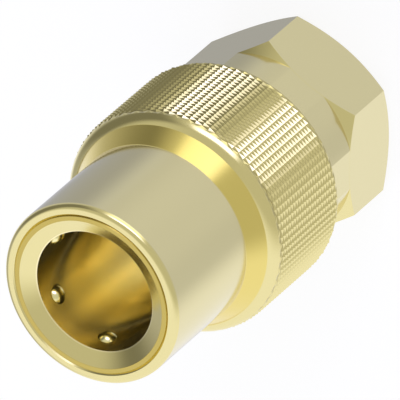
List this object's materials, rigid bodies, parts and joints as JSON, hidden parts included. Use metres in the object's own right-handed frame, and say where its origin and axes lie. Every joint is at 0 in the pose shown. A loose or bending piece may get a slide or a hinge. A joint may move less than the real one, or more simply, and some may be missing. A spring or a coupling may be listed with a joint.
{
  "type": "quick coupling",
  "caption": "Straight-through quick coupling socket with a knurled locking sleeve over locking balls and a hexagon end with a female pipe port.",
  "frame": {"origin": "centre of the rear face of the hexagon, on which the coupling stands", "axes": "+Z along the bore towards the mouth, +Y towards one corner of the hexagon and one locking ball"},
  "size_m": [0.0336, 0.0336, 0.0578],
  "materials": {
    "brass_body": "bright turned",
    "brass_sleeve": "pale satin, knurled collar",
    "brass_balls": "polished",
    "spring_steel": "drawn wire",
    "seal_rubber": "satin",
    "backup_plastic": "matte"
  },
  "bodies": {
    "body": {"front_body": "brass_body", "rear_adapter": "brass_body", "sleeve_spring": "spring_steel", "bore_seal": "seal_rubber", "backup_ring": "backup_plastic", "joint_seal": "seal_rubber"},
    "sleeve": {"sleeve": "brass_sleeve"},
    "ball_1": {"ball_1": "brass_balls"},
    "ball_2": {"ball_2": "brass_balls"},
    "ball_3": {"ball_3": "brass_balls"},
    "ball_4": {"ball_4": "brass_balls"},
    "ball_5": {"ball_5": "brass_balls"},
    "ball_6": {"ball_6": "brass_balls"}
  },
  "joints": [
    {"name": "sleeve_slide", "type": "slide", "parent": "body", "child": "sleeve", "axis": [0, 0, -1], "range_m": [0, 0.0034], "stiffness_N_per_m": 3000, "springref_m": -0.006, "deforming": ["sleeve_spring"]},
    {"name": "ball_1_lift", "type": "slide", "parent": "body", "child": "ball_1", "axis": [0, 1, 0], "range_m": [0, 0.00083]},
    {"name": "ball_2_lift", "type": "slide", "parent": "body", "child": "ball_2", "axis": [-0.866, 0.5, 0], "range_m": [0, 0.00083]},
    {"name": "ball_3_lift", "type": "slide", "parent": "body", "child": "ball_3", "axis": [-0.866, -0.5, 0], "range_m": [0, 0.00083]},
    {"name": "ball_4_lift", "type": "slide", "parent": "body", "child": "ball_4", "axis": [0, -1, 0], "range_m": [0, 0.00083]},
    {"name": "ball_5_lift", "type": "slide", "parent": "body", "child": "ball_5", "axis": [0.866, -0.5, 0], "range_m": [0, 0.00083]},
    {"name": "ball_6_lift", "type": "slide", "parent": "body", "child": "ball_6", "axis": [0.866, 0.5, 0], "range_m": [0, 0.00083]}
  ],
  "couplings": [
    {"joint": "ball_1_lift", "follows": "sleeve_slide", "ratio": 0.2441},
    {"joint": "ball_2_lift", "follows": "sleeve_slide", "ratio": 0.2441},
    {"joint": "ball_3_lift", "follows": "sleeve_slide", "ratio": 0.2441},
    {"joint": "ball_4_lift", "follows": "sleeve_slide", "ratio": 0.2441},
    {"joint": "ball_5_lift", "follows": "sleeve_slide", "ratio": 0.2441},
    {"joint": "ball_6_lift", "follows": "sleeve_slide", "ratio": 0.2441}
  ]
}
